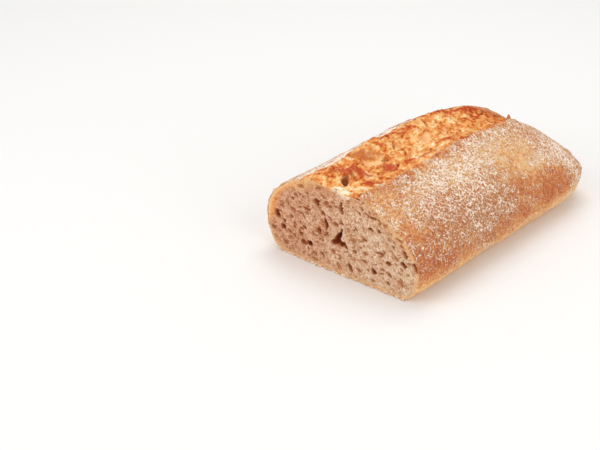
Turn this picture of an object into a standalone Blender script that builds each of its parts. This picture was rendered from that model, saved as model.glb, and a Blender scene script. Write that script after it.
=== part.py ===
"""The cut half of a ciabatta: one solid of bread, flat underneath and sliced across at one end.

The loaf lies along Y. The sliced face looks towards -Y and the whole, rounded end towards +Y.
The origin is the middle of the box's base. A wide torn band runs along the top, where the
dough burst open in the oven, and the sliced face is pitted with the holes of the crumb.
"""

import bisect
import math
import random

import bmesh
import bpy
from mathutils import Matrix, Vector, noise

MM = 0.001

# Driving dimensions, in metres.
LOAF_LENGTH = 203 * MM          # from the slice, at its right-hand foot, to the rounded end
LOAF_HEIGHT = 60 * MM           # of the plain section, at its crown
WIDEST_LEVEL = 16 * MM          # height of the tip of the rounded end
SLICE_SKEW = math.radians(2.7)  # the knife left the slice this far off square

# The section, seen from the slice: its rounded outline from the right-hand foot over the top
# to the left-hand foot, as (x, z) in millimetres. The foot itself is straight, at z = 0.
RIGHT_FOOT = (48.0, 0.0)
RIGHT_SIDE = [(55.6, 6.0), (59.2, 14.5), (59.4, 21.5), (56.9, 30.0), (49.8, 38.2), (40.0, 45.4)]
RIGHT_SHOULDER = (29.0, 51.4)
CROWN = [(14.5, 57.6), (0.5, 55.8), (-12.0, 58.2), (-24.0, 60.0)]
LEFT_SHOULDER = (-37.0, 54.2)
LEFT_SIDE = [(-48.0, 46.2), (-55.8, 37.8), (-59.4, 28.0), (-59.0, 17.0), (-54.8, 6.5)]
LEFT_FOOT = (-47.0, 0.0)
OUTLINE_STEPS = 8               # points of the smooth outline for each of the ones above

# How the section shrinks towards the rounded end: where each part starts to, measured from the
# slice, and how square the curve is.
WIDTH_FALL = (148 * MM, 3.6)
TOP_FALL = (104 * MM, 2.15)
UNDERSIDE_FALL = (188 * MM, 2.0)
CAP_SHARE = 0.74                # the part of the width that the end cap takes over
STATION_CROWDING = 1.12         # over 1, so that the faces shorten towards the rounded end

# The loaf's top rises gently over its middle.
SWELL_HEIGHT = 3.0 * MM
SWELL_AT = 96 * MM
SWELL_LENGTH = 38 * MM

# The torn band on the top, between its left and right edges, measured across and along.
BAND_LEFT = -31.0 * MM
BAND_RIGHT = 13.5 * MM
BAND_CLOSES = (140 * MM, 182 * MM)   # along the loaf, from full width to its closed end
BAND_END = (2 * MM, 4 * MM)     # where the two edges meet the closed end
BAND_SWAY = 1.8 * MM            # how far its edges wander, over the length below
BAND_SWAY_LENGTH = 22 * MM
LEFT_BLEND = 5 * MM             # the band starts softly on its left and sharply on its right
RIGHT_BLEND = 1.5 * MM
CLOSED_BLEND = 12 * MM
LIP_HEIGHT = 1.5 * MM           # the crust's edge, curled up along the right of the band
LIP_WIDTH = 3.2 * MM
GROOVE_DEPTH = 1.6 * MM         # the band sinks this far just inside the lip
GROOVE_WIDTH = 6 * MM
GROOVE_OFFSET = 3.6 * MM        # from the band's right edge to the groove's deepest line
CRAG_HEIGHT = 2.3 * MM          # the torn crumb inside the band
CRAG_SIZE = (8.5 * MM, 15 * MM)      # across and along
PEAK_AT = (9.0 * MM, 158 * MM)       # a point of crust that stands up at the lip's far end
PEAK_HEIGHT = 5.5 * MM
PEAK_WIDTH = 2.6 * MM

# The slow bulges and dents of the baked crust, each a height and a size.
BULGE = (1.3 * MM, 46 * MM)
DENT = (0.5 * MM, 17 * MM)
FLAT_FOOT = 0.5 * MM            # what is lower than this rests flat
FULL_RELIEF = 9 * MM            # from this height up the relief is whole
SLICE_GUARD = 8 * MM            # crust nearer the slice than this moves only sideways

# Faces across, along and up the loaf, and the bend under which two of them become one.
FACES = (34, 50, 12)
FLAT_BEND = math.radians(0.05)

# The holes of the crumb. The large ones are the ones that stand out, each an egg shape as
# (x, z, length, width, tilt of its length in degrees), in millimetres on the slice.
LARGE_HOLES = [
    (-2.5, 25.0, 10.4, 3.4, 60),
    (3.0, 21.0, 5.6, 2.6, -45),
    (-24.5, 13.0, 4.8, 3.8, -10),
    (-30.0, 12.0, 4.8, 4.0, -10),
    (-51.5, 25.5, 5.4, 3.8, -65),
    (-0.5, 45.0, 6.8, 2.4, -75),
    (-12.5, 31.0, 8.0, 2.4, -80),
    (-17.5, 24.5, 4.4, 3.8, -25),
    (-19.5, 43.5, 5.2, 3.8, -55),
    (-27.5, 36.5, 6.8, 2.6, -5),
    (-38.5, 32.5, 4.6, 2.8, -10),
    (-46.0, 18.0, 3.8, 3.2, 0),
    (-29.0, 23.0, 4.4, 1.8, -30),
    (13.0, 47.0, 3.6, 1.6, -35),
    (23.0, 47.0, 5.2, 1.8, 0),
    (22.0, 39.0, 3.8, 1.8, -5),
    (17.0, 31.0, 5.6, 2.6, -25),
    (43.0, 39.0, 6.0, 1.8, -10),
    (47.5, 30.5, 5.6, 3.0, -60),
    (46.5, 23.5, 4.2, 2.8, -35),
    (55.5, 24.0, 6.2, 2.2, -65),
    (35.5, 20.5, 4.2, 3.0, -10),
    (25.0, 11.0, 5.0, 3.2, -40),
    (36.5, 13.0, 5.0, 3.0, -30),
    (35.5, 7.0, 3.2, 2.2, -35),
    (7.0, 7.0, 7.0, 3.0, -65),
    (13.5, 7.5, 4.2, 2.4, -55),
    (18.0, 15.5, 4.2, 2.2, -5),
    (45.0, 10.0, 6.2, 4.6, -15),
]
SMALL_HOLES = 50
SMALL_HOLE_SIZE = (1.7 * MM, 3.8 * MM)
SMALL_HOLE_FLATNESS = (0.5, 0.8)     # width over length
SMALL_HOLE_SPREAD = (56 * MM, 4 * MM, 56 * MM)   # farthest x, lowest z and highest z
SMALL_HOLE_TURN = 25            # degrees either way
HOLE_DEPTH = 0.48               # of a hole's length
HOLE_SET_BACK = 0.22            # of its depth, from the slice to its middle
HOLE_RIM = 4.0 * MM             # the small holes keep this far from the crust
HOLE_WALL = 0.7 * MM            # the thinnest crumb between two holes
SEED = 11

CRUST_COLOUR = (0.60, 0.32, 0.12, 1.0)
CRUST_ROUGHNESS = 0.8
SHARP_ANGLE = math.radians(40)
NEARLY_ZERO = 1e-6


def smooth_step(low, high, value):
    """0 below the low end, 1 above the high end, and a soft S between them."""
    share = min(1.0, max(0.0, (value - low) / (high - low)))
    return share * share * (3 - 2 * share)


def bell(value, middle, width):
    """1 at the middle, falling away on both sides over about the width."""
    return math.exp(-(((value - middle) / width) ** 2))


def smooth_outline(corners):
    """Points on a smooth curve through the corners, and how far along it each one lies."""
    path = [Vector(corner) * MM for corner in corners]
    ends = [2 * path[0] - path[1], *path, 2 * path[-1] - path[-2]]
    points = []
    for a, b, c, d in zip(ends, ends[1:], ends[2:], ends[3:]):
        for i in range(OUTLINE_STEPS):
            t = i / OUTLINE_STEPS
            bend = (2 * a - 5 * b + 4 * c - d) * t**2 + (3 * b - a - 3 * c + d) * t**3
            points.append(0.5 * (2 * b + (c - a) * t + bend))
    points.append(path[-1])
    reach = [0.0]
    for before, after in zip(points, points[1:]):
        reach.append(reach[-1] + (after - before).length)
    return points, reach


OUTLINE, REACH = smooth_outline(
    [RIGHT_FOOT, *RIGHT_SIDE, RIGHT_SHOULDER, *CROWN, LEFT_SHOULDER, *LEFT_SIDE, LEFT_FOOT]
)
TO_RIGHT_SHOULDER = REACH[(len(RIGHT_SIDE) + 1) * OUTLINE_STEPS]
TO_LEFT_SHOULDER = REACH[(len(RIGHT_SIDE) + len(CROWN) + 2) * OUTLINE_STEPS]


def on_outline(reach):
    """The point that far along the outline from the right-hand foot."""
    i = min(max(bisect.bisect_left(REACH, reach), 1), len(REACH) - 1)
    part = (reach - REACH[i - 1]) / (REACH[i] - REACH[i - 1])
    return OUTLINE[i - 1].lerp(OUTLINE[i], min(1.0, part))


def right_side(share):
    return on_outline(share * TO_RIGHT_SHOULDER)


def top_side(share):
    return on_outline(TO_LEFT_SHOULDER + (TO_RIGHT_SHOULDER - TO_LEFT_SHOULDER) * share)


def left_side(share):
    return on_outline(REACH[-1] + (TO_LEFT_SHOULDER - REACH[-1]) * share)


def foot_side(share):
    return OUTLINE[-1].lerp(OUTLINE[0], share)


def section(across, up):
    """The point of the section at shares from 0 to 1 across and up it."""
    foot_chord = foot_side(0).lerp(foot_side(1), across)
    top_chord = top_side(0).lerp(top_side(1), across)
    between_foot_and_top = foot_side(across).lerp(top_side(across), up)
    between_sides = left_side(up).lerp(right_side(up), across)
    return between_foot_and_top + between_sides - foot_chord.lerp(top_chord, up)


def fall(along, start_and_power):
    """1 up to the start, then down a superellipse to 0 at the tip of the loaf."""
    start, power = start_and_power
    share = min(1.0, max(0.0, (along - start) / (LOAF_LENGTH - start)))
    return (1 - share**power) ** (1 / power)


def along_where_width_is(share):
    """How far from the slice the loaf has shrunk to that share of its width."""
    start, power = WIDTH_FALL
    return start + (LOAF_LENGTH - start) * (1 - share**power) ** (1 / power)


def placed(point, along):
    """A point of the section, moved along the loaf, with the shrinking and swelling there."""
    over = point.y - WIDEST_LEVEL
    fall_up = fall(along, TOP_FALL if over > 0 else UNDERSIDE_FALL)
    upness = max(0.0, over) / (LOAF_HEIGHT - WIDEST_LEVEL)
    swell = SWELL_HEIGHT * bell(along, SWELL_AT, SWELL_LENGTH) * upness
    x = point.x * fall(along, WIDTH_FALL)
    return Vector((x, along, WIDEST_LEVEL + over * fall_up + swell))


def loaf_point(corner):
    """Where a point of the cube from -1 to 1 goes on the loaf."""
    a, b, c = corner
    if b < 1 - NEARLY_ZERO:
        share = (b + 1) / 2
        along = along_where_width_is(CAP_SHARE) * (1 - (1 - share) ** STATION_CROWDING)
        return placed(section((a + 1) / 2, (c + 1) / 2), along)
    # The cube's far face becomes rings that shrink to the loaf's tip.
    ring = max(abs(a), abs(c))
    edge_a, edge_c = (a / ring, c / ring) if ring > NEARLY_ZERO else (0.0, -1.0)
    along = along_where_width_is(CAP_SHARE * ring)
    return placed(section((edge_a + 1) / 2, (edge_c + 1) / 2), along)


def band_edges(along):
    """The torn band's left and right edges at that distance from the slice."""
    closed = smooth_step(*BAND_CLOSES, along)
    sway = BAND_SWAY * noise.noise(Vector((along / BAND_SWAY_LENGTH, 3.0, 0.0)))
    left = BAND_LEFT * (1 - closed) + BAND_END[0] * closed + sway
    right = BAND_RIGHT * (1 - closed) + BAND_END[1] * closed - sway
    return left, right


def torn_band(x, along):
    """The height of the torn crumb and of the crust's lip beside it."""
    left, right = band_edges(along)
    still_open = 1 - smooth_step(BAND_CLOSES[1] - CLOSED_BLEND, BAND_CLOSES[1], along)
    inside = smooth_step(left, left + LEFT_BLEND, x)
    inside *= 1 - smooth_step(right - RIGHT_BLEND, right, x)
    spot = Vector((x / CRAG_SIZE[0], along / CRAG_SIZE[1], 1.7))
    crags = CRAG_HEIGHT * (noise.hetero_terrain(spot, 0.9, 2.1, 3, 0.4) - 0.5)
    groove = -GROOVE_DEPTH * bell(x, right - GROOVE_OFFSET, GROOVE_WIDTH)
    lip = LIP_HEIGHT * bell(x, right + LIP_WIDTH / 2, LIP_WIDTH)
    return still_open * (inside * (crags + groove) + lip)


def crust_relief(place):
    """How far the baked surface stands out from the plain loaf there."""
    x, along, _ = place
    bulge = BULGE[0] * noise.noise(place / BULGE[1] + Vector((5.2, 0, 0)))
    dent = DENT[0] * noise.noise(place / DENT[1] + Vector((0, 8.1, 0)))
    from_peak = math.hypot(x - PEAK_AT[0], along - PEAK_AT[1])
    peak = PEAK_HEIGHT * bell(from_peak, 0, PEAK_WIDTH)
    return bulge + dent + torn_band(x, along) + peak


def subdivided_cube():
    """A cube from -1 to 1 with its faces cut into a grid, as the loaf's starting shape."""
    cage = bmesh.new()
    bmesh.ops.create_cube(cage, size=2)
    for axis, faces in enumerate(FACES):
        edges = [
            edge for edge in cage.edges
            if abs(edge.verts[0].co[axis] - edge.verts[1].co[axis]) > NEARLY_ZERO
        ]
        bmesh.ops.subdivide_edges(cage, edges=edges, cuts=faces - 1, use_grid_fill=True)
    return cage


def loaf_body():
    """The loaf without its holes and with its slice square."""
    cage = subdivided_cube()
    edge = 1 - NEARLY_ZERO
    on_slice = [vert for vert in cage.verts if vert.co.y < -edge]
    inner = {vert for vert in on_slice if max(abs(vert.co.x), abs(vert.co.z)) < edge}
    for vert in cage.verts:
        vert.co = loaf_point(vert.co)
    cage.normal_update()
    moves = {}
    for vert in cage.verts:
        if vert in inner or vert.co.z < FLAT_FOOT:
            continue
        out = vert.normal.copy()
        if vert.co.y < SLICE_GUARD:
            out.y = 0
            out.normalize()
        moves[vert] = out * crust_relief(vert.co) * smooth_step(FLAT_FOOT, FULL_RELIEF, vert.co.z)
    for vert, move in moves.items():
        vert.co += move
    bmesh.ops.dissolve_limit(cage, angle_limit=FLAT_BEND, verts=cage.verts, edges=cage.edges)
    return cage


def hole(cutter, x, z, length, width, tilt, rounds):
    """Adds one hole's egg shape to the cutter, centred a little behind the slice."""
    depth = HOLE_DEPTH * length
    place = Matrix.Translation((x, HOLE_SET_BACK * depth, z))
    turn = Matrix.Rotation(-math.radians(tilt), 4, "Y")
    size = Matrix.Diagonal((length / 2, depth, width / 2, 1))
    bmesh.ops.create_icosphere(
        cutter, subdivisions=rounds, radius=1, matrix=place @ turn @ size
    )


def in_crumb(x, z):
    """True if a spot of the slice is inside the outline and clear of the crust."""
    spot = Vector((x, z))
    if z < HOLE_RIM or min((point - spot).length for point in OUTLINE) < HOLE_RIM:
        return False
    inside = False
    for before, after in zip(OUTLINE, OUTLINE[1:] + OUTLINE[:1]):
        if (before.y > z) != (after.y > z):
            crossing = before.x + (z - before.y) / (after.y - before.y) * (after.x - before.x)
            inside ^= x < crossing
    return inside


def hole_cutter():
    """One object with all the holes' egg shapes, none of them touching another."""
    draw = random.Random(SEED)
    cutter = bmesh.new()
    taken = []
    for x, z, length, width, tilt in LARGE_HOLES:
        hole(cutter, x * MM, z * MM, length * MM, width * MM, tilt, 2)
        taken.append((x * MM, z * MM, length * MM / 2))
    farthest, lowest, highest = SMALL_HOLE_SPREAD
    while len(taken) < len(LARGE_HOLES) + SMALL_HOLES:
        x = draw.uniform(-farthest, farthest)
        z = draw.uniform(lowest, highest)
        length = draw.uniform(*SMALL_HOLE_SIZE)
        if not in_crumb(x, z):
            continue
        if any(math.hypot(x - a, z - b) < length / 2 + r + HOLE_WALL for a, b, r in taken):
            continue
        # The holes lean more towards the sides, where the crust held the dough down.
        lean = math.degrees(math.atan2(x, LOAF_HEIGHT))
        tilt = lean + draw.uniform(-SMALL_HOLE_TURN, SMALL_HOLE_TURN)
        hole(cutter, x, z, length, length * draw.uniform(*SMALL_HOLE_FLATNESS), tilt, 1)
        taken.append((x, z, length / 2))
    return cutter


def new_collection(name):
    made = bpy.data.collections.new(name)
    bpy.context.scene.collection.children.link(made)
    return made


def as_object(name, shape, collection):
    mesh = bpy.data.meshes.new(name)
    shape.to_mesh(mesh)
    shape.free()
    made = bpy.data.objects.new(name, mesh)
    collection.objects.link(made)
    return made


def baked_crust():
    """Matt golden-brown bread crust."""
    material = bpy.data.materials.new("baked crust")
    material.use_nodes = True
    shader = material.node_tree.nodes["Principled BSDF"]
    shader.inputs["Base Color"].default_value = CRUST_COLOUR
    shader.inputs["Roughness"].default_value = CRUST_ROUGHNESS
    shader.inputs["Metallic"].default_value = 0.0
    return material


def pit_slice(loaf, holes):
    """Cuts the holes out of the loaf and keeps the result as its mesh."""
    cut = loaf.modifiers.new("crumb holes", "BOOLEAN")
    cut.operation = "DIFFERENCE"
    cut.solver = "EXACT"
    cut.object = holes
    bpy.context.view_layer.update()
    evaluated = loaf.evaluated_get(bpy.context.evaluated_depsgraph_get())
    pitted = bpy.data.meshes.new_from_object(evaluated)
    loaf.modifiers.clear()
    loaf.data = pitted
    bpy.data.objects.remove(holes)


def skew_slice(loaf):
    """Turns the slice off square about its right-hand foot, and less and less further along."""
    for vert in loaf.data.vertices:
        ahead = (RIGHT_FOOT[0] * MM - vert.co.x) * math.tan(SLICE_SKEW)
        vert.co.y -= ahead * (1 - smooth_step(0, LOAF_LENGTH / 2, vert.co.y))


def stand_on_origin(loaf):
    """Moves the mesh so that the middle of its box's base is the origin."""
    points = [vert.co for vert in loaf.data.vertices]
    low = Vector([min(point[axis] for point in points) for axis in range(3)])
    high = Vector([max(point[axis] for point in points) for axis in range(3)])
    middle = Vector(((low.x + high.x) / 2, (low.y + high.y) / 2, low.z))
    loaf.data.transform(Matrix.Translation(-middle))


def main():
    for old in list(bpy.data.objects):
        bpy.data.objects.remove(old)
    parts = new_collection("ciabatta")
    cutters = new_collection("cutters")

    loaf = as_object("ciabatta", loaf_body(), parts)
    holes = as_object("crumb_holes", hole_cutter(), cutters)
    holes.hide_render = True
    holes.display_type = "WIRE"
    pit_slice(loaf, holes)
    skew_slice(loaf)
    stand_on_origin(loaf)

    loaf.data.materials.clear()
    loaf.data.materials.append(baked_crust())
    loaf.data.shade_smooth()
    loaf.data.set_sharp_from_angle(angle=SHARP_ANGLE)


main()
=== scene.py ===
import math
import random

import bpy
import numpy as np
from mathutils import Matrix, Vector, noise


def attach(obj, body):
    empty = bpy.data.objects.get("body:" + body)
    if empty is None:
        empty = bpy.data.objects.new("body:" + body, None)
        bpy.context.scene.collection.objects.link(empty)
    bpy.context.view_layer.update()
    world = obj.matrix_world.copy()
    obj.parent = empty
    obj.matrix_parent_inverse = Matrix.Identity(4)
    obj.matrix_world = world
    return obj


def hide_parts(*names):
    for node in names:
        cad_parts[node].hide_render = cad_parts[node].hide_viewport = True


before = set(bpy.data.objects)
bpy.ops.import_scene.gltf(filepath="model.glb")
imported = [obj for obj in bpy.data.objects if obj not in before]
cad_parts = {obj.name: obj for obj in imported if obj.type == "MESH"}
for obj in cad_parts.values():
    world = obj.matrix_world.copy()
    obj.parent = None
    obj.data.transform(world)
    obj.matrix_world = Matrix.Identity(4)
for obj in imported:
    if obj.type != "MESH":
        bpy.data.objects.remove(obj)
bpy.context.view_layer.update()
mm = 0.001

# The loaf's form in millimetres, by the same rule as the solid. x is across, seen from the
# slice, y runs from the slice to the rounded end and z is up.
loafForm = {
    "length": 203,
    "height": 60,
    "widestLevel": 16,
    "topFrom": 40,  # the outline over this level is the loaf's top
    "sliceSkew": 2.7,  # degrees that the knife was off square
    "rightFoot": (48, 0),
    "rightSide": [(55.6, 6), (59.2, 14.5), (59.4, 21.5), (56.9, 30), (49.8, 38.2), (40, 45.4)],
    "rightShoulder": (29, 51.4),
    "crown": [(14.5, 57.6), (0.5, 55.8), (-12, 58.2), (-24, 60)],
    "leftShoulder": (-37, 54.2),
    "leftSide": [(-48, 46.2), (-55.8, 37.8), (-59.4, 28), (-59, 17), (-54.8, 6.5)],
    "leftFoot": (-47, 0),
    "outlineSteps": 8,
    "widthFall": (148, 3.6),  # where the width starts to shrink, and how squarely
    "topFall": (104, 2.15),
    "undersideFall": (188, 2),
    "capShare": 0.74,  # how much of the width the rings of the far end take up
    "stationCrowding": 1.12,  # how the cuts along crowd towards the far end
    "swell": (3, 96, 38),  # height, place along and length of the rise over the middle
    "bulges": [(1.3, 46, (5.2, 0, 0)), (0.5, 17, (0, 8.1, 0))],  # height, size and shift
    "reliefLevels": (0.5, 9),  # no relief up to the first, and all of it from the second
    "sliceGuard": 8,  # nearer the slice than this, the skin moves only sideways and up
}

# The band along the top where the crust burst open, in millimetres.
bandForm = {
    "left": -31,
    "right": 13.5,
    "closes": (140, 182),  # where its borders start to meet, and where it ends
    "end": (2, 4),  # its borders there
    "sway": (1.8, 22),  # how far its borders wander, and over what length
    "leftBlend": 5,
    "rightBlend": 1.5,
    "closedBlend": 12,
    "lip": (1.5, 3.2),  # height and width of the curled crust along its right
    "groove": (1.6, 6, 3.6),  # depth, width and distance in from the right edge
    "crag": (2.3, 8.5, 15, 1),  # height, and size across, along and up
    "cragPattern": (0.9, 2.1, 3, 0.4),  # smoothness, step, layers and level
}


def smoothStep(low, high, value):
    share = np.clip((value - low) / (high - low), 0, 1)
    return share * share * (3 - 2 * share)


# 1 from where it has risen to where it falls again, and 0 outside.
def plateau(value, riseFrom, riseTo, fallFrom, fallTo):
    return smoothStep(riseFrom, riseTo, value) * (1 - smoothStep(fallFrom, fallTo, value))


def bell(value, middle, width):
    return np.exp(-(((value - middle) / width) ** 2))


def stacked(*parts):
    return np.stack(parts, axis=-1)


def flatPlaces(x, y):
    return stacked(x, y, 0 * x)


def noiseAt(places, size, shift=(0, 0, 0), pattern=noise.noise):
    spots = (places / np.array(size) + np.array(shift)).tolist()
    return np.array([pattern(spot) for spot in spots])


# The sum of several noises, each with its height, size and shift.
def layered(places, layers):
    return sum(height * noiseAt(places, size, shift) for height, size, shift in layers)


def smoothOutline(corners):
    path = np.array(corners)
    ends = np.vstack([2 * path[0] - path[1], path, 2 * path[-1] - path[-2]])
    a, b, c, d = [ends[i : i + len(path) - 1, None] for i in range(4)]
    t = (np.arange(loafForm["outlineSteps"]) / loafForm["outlineSteps"])[:, None]
    bend = (2 * a - 5 * b + 4 * c - d) * t**2 + (3 * b - a - 3 * c + d) * t**3
    points = 0.5 * (2 * b + (c - a) * t + bend)
    points = np.vstack([points.reshape(-1, 2), path[-1]])
    lengths = np.linalg.norm(np.diff(points, axis=0), axis=1)
    return points, np.concatenate([[0], np.cumsum(lengths)])


outline, reach = smoothOutline(
    [loafForm["rightFoot"], *loafForm["rightSide"], loafForm["rightShoulder"]]
    + [*loafForm["crown"], loafForm["leftShoulder"], *loafForm["leftSide"], loafForm["leftFoot"]]
)
cornersBefore = len(loafForm["rightSide"]) + 1
toRightShoulder = reach[cornersBefore * loafForm["outlineSteps"]]
toLeftShoulder = reach[(cornersBefore + len(loafForm["crown"]) + 1) * loafForm["outlineSteps"]]


def onOutline(distance, points):
    return stacked(*[np.interp(distance, reach, column) for column in points.T])


# A point of the section at shares from 0 to 1 across and up, inside an outline with a straight foot.
def section(across, up, points):
    a, c = across[:, None], up[:, None]
    left = onOutline(reach[-1] + (toLeftShoulder - reach[-1]) * up, points)
    right = onOutline(toRightShoulder * up, points)
    top = onOutline(toLeftShoulder + (toRightShoulder - toLeftShoulder) * across, points)
    chord = onOutline(toLeftShoulder, points) * (1 - a) + onOutline(toRightShoulder, points) * a
    return left * (1 - a) + right * a + (top - chord) * c


def fall(along, startAndPower):
    start, power = startAndPower
    share = np.clip((along - start) / (loafForm["length"] - start), 0, 1)
    return (1 - share**power) ** (1 / power)


def alongWhereWidthIs(share):
    start, power = loafForm["widthFall"]
    return start + (loafForm["length"] - start) * (1 - share**power) ** (1 / power)


def levelAlong(level, along):
    widest = loafForm["widestLevel"]
    over = level - widest
    up = np.where(over > 0, fall(along, loafForm["topFall"]), fall(along, loafForm["undersideFall"]))
    height, middle, length = loafForm["swell"]
    upness = np.maximum(0, over) / (loafForm["height"] - widest)
    return widest + over * up + height * bell(along, middle, length) * upness


# Where the points of a cube from -1 to 1 go on the loaf. Its far face becomes rings.
def onLoaf(cube):
    a, b, c = cube.T
    cap = loafForm["capShare"]
    sideAlong = alongWhereWidthIs(cap) * (1 - ((1 - b) / 2) ** loafForm["stationCrowding"])
    ring = np.maximum(np.abs(a), np.abs(c))
    far = b > 1 - 1e-4
    safe = np.where(ring > 1e-4, ring, 1)
    across = np.where(far, np.where(ring > 1e-4, a / safe, 0), a)
    up = np.where(far, np.where(ring > 1e-4, c / safe, -1), c)
    along = np.where(far, alongWhereWidthIs(cap * ring), sideAlong)
    x, z = section((across + 1) / 2, (up + 1) / 2, outline).T
    return stacked(x * fall(along, loafForm["widthFall"]), along, levelAlong(z, along))


swayWidth, swayLength = bandForm["sway"]
swaySteps = np.arange(-10, 220, 0.5)
swayTable = swayWidth * noiseAt(flatPlaces(swaySteps, 0 * swaySteps), (swayLength, 1, 1), (0, 3, 0))


def bandEdges(along):
    closed = smoothStep(*bandForm["closes"], along)
    sway = np.interp(along, swaySteps, swayTable)
    left = bandForm["left"] * (1 - closed) + bandForm["end"][0] * closed + sway
    right = bandForm["right"] * (1 - closed) + bandForm["end"][1] * closed - sway
    return left, right


def bandOpen(along):
    return 1 - smoothStep(bandForm["closes"][1] - bandForm["closedBlend"], bandForm["closes"][1], along)


# The height of the plain loaf over a spot of its top.
topPoints = outline[outline[:, 1] > loafForm["topFrom"]]
topPoints = topPoints[np.argsort(topPoints[:, 0])]


def topLevel(x, along):
    spread = np.maximum(0.2, fall(along, loafForm["widthFall"]))
    return levelAlong(np.interp(x / spread, topPoints[:, 0], topPoints[:, 1]), along)


# Every piece is worked out with its slice square, and this puts it where the solid is.
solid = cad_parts["ciabatta"]
solidFoot = max((v.co for v in solid.data.vertices if v.co.z < 0.1 * mm), key=lambda co: co.x - co.y)
toFrame = np.array([solidFoot.x / mm - loafForm["rightFoot"][0], solidFoot.y / mm, 0])


def inFrame(points):
    ahead = (loafForm["rightFoot"][0] - points[:, 0]) * math.tan(math.radians(loafForm["sliceSkew"]))
    moved = points + toFrame
    moved[:, 1] -= ahead * (1 - smoothStep(0, loafForm["length"] / 2, points[:, 1]))
    return moved


def readAll(items, name, width, kind=float):
    found = np.empty(len(items) * width, kind)
    items.foreach_get(name, found)
    return found.reshape(-1, width)


def pointsOf(piece):
    return readAll(piece.data.vertices, "co", 3)


def normalsOf(piece):
    return readAll(piece.data.vertices, "normal", 3)


def edgeEnds(piece):
    return readAll(piece.data.edges, "vertices", 2, int)


# True for each face all of whose corners are flagged.
def facesWhere(piece, flags):
    counts = readAll(piece.data.polygons, "loop_total", 1, int)[:, 0]
    corners = readAll(piece.data.loops, "vertex_index", 1, int)[:, 0]
    starts = np.concatenate([[0], np.cumsum(counts)[:-1]])
    return np.logical_and.reduceat(flags[corners], starts)


def setPoints(piece, points):
    piece.data.vertices.foreach_set("co", np.ascontiguousarray(points, np.float32).ravel())
    piece.data.update()


def setValues(piece, values):
    for name, numbers in values.items():
        layer = piece.data.attributes.new(name, "FLOAT", "POINT")
        layer.data.foreach_set("value", np.ascontiguousarray(numbers, np.float32))


def selectOnly(*pieces):
    bpy.ops.object.select_all(action="DESELECT")
    for piece in pieces:
        piece.select_set(True)
        bpy.context.view_layer.objects.active = piece


# Selects the flagged vertices, edges or faces, and goes into edit mode.
def editWith(piece, kind, flags):
    selectOnly(piece)
    mesh = piece.data
    for name, items in (("VERT", mesh.vertices), ("EDGE", mesh.edges), ("FACE", mesh.polygons)):
        items.foreach_set("select", flags if name == kind else np.zeros(len(items), bool))
    bpy.context.tool_settings.mesh_select_mode = [kind == name for name in ("VERT", "EDGE", "FACE")]
    bpy.ops.object.mode_set(mode="EDIT")


def endEdit():
    bpy.ops.object.mode_set(mode="OBJECT")


# A fine grid from -1 to 1, closed to a slab by walls that go down in steps of 1.
def makeSlab(name, cells, wallSteps):
    selectOnly()
    bpy.ops.mesh.primitive_grid_add(x_subdivisions=cells[0], y_subdivisions=cells[1], size=2)
    piece = bpy.context.object
    piece.name = name
    middle = pointsOf(piece)[edgeEnds(piece)].mean(axis=1)
    editWith(piece, "EDGE", np.max(np.abs(middle[:, :2]), axis=1) > 1 - 1e-5)
    for _ in range(wallSteps):
        bpy.ops.mesh.extrude_edges_move(TRANSFORM_OT_translate={"value": (0, 0, -1)})
    bpy.ops.mesh.edge_face_add()
    bpy.ops.mesh.select_all(action="SELECT")
    bpy.ops.mesh.normals_make_consistent(inside=False)
    endEdit()
    return piece


def finishPiece(piece, material, sharpAngle, standsForLoaf=True):
    selectOnly(piece)
    bpy.ops.object.shade_smooth_by_angle(angle=math.radians(sharpAngle))
    piece.data.materials.clear()
    piece.data.materials.append(material)
    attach(piece, "root")
    if standsForLoaf:
        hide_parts("ciabatta")
    triangles = sum(len(face.vertices) - 2 for face in piece.data.polygons)
    print("made", piece.name, "with", triangles, "triangles")


# Round holes are pressed as depths into a fine flat grid, and read back anywhere.
class HoleField:
    def __init__(self, low, high, step):
        self.step = step
        counts = [math.ceil((b - a) / step) + 1 for a, b in zip(low, high)]
        self.x, self.y = [a + step * np.arange(count) for a, count in zip(low, counts)]
        self.depth = np.zeros(counts[::-1])

    def press(self, x, y, halfWidth, halfHeight, tilt, depth):
        far = max(halfWidth, halfHeight)
        columns = slice(*np.searchsorted(self.x, (x - far, x + far)))
        rows = slice(*np.searchsorted(self.y, (y - far, y + far)))
        a, b = turned(self.x[columns] - x, self.y[rows, None] - y, tilt)
        bowl = depth * np.sqrt(np.clip(1 - (a / halfWidth) ** 2 - (b / halfHeight) ** 2, 0, 1))
        self.depth[rows, columns] = np.maximum(self.depth[rows, columns], bowl)

    def soften(self, rounds):
        for _ in range(rounds):
            for axis in (0, 1):
                near = np.roll(self.depth, 1, axis) + np.roll(self.depth, -1, axis)
                self.depth = 0.5 * self.depth + 0.25 * near

    def read(self, x, y):
        i = np.clip((x - self.x[0]) / self.step, 0, len(self.x) - 1.001)
        j = np.clip((y - self.y[0]) / self.step, 0, len(self.y) - 1.001)
        i0, j0 = i.astype(int), j.astype(int)
        s, t = i - i0, j - j0
        near = self.depth[j0, i0] * (1 - s) + self.depth[j0, i0 + 1] * s
        far = self.depth[j0 + 1, i0] * (1 - s) + self.depth[j0 + 1, i0 + 1] * s
        return near * (1 - t) + far * t


def turned(dx, dy, tilt):
    turn = math.radians(tilt)
    return dx * math.cos(turn) + dy * math.sin(turn), dy * math.cos(turn) - dx * math.sin(turn)


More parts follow.
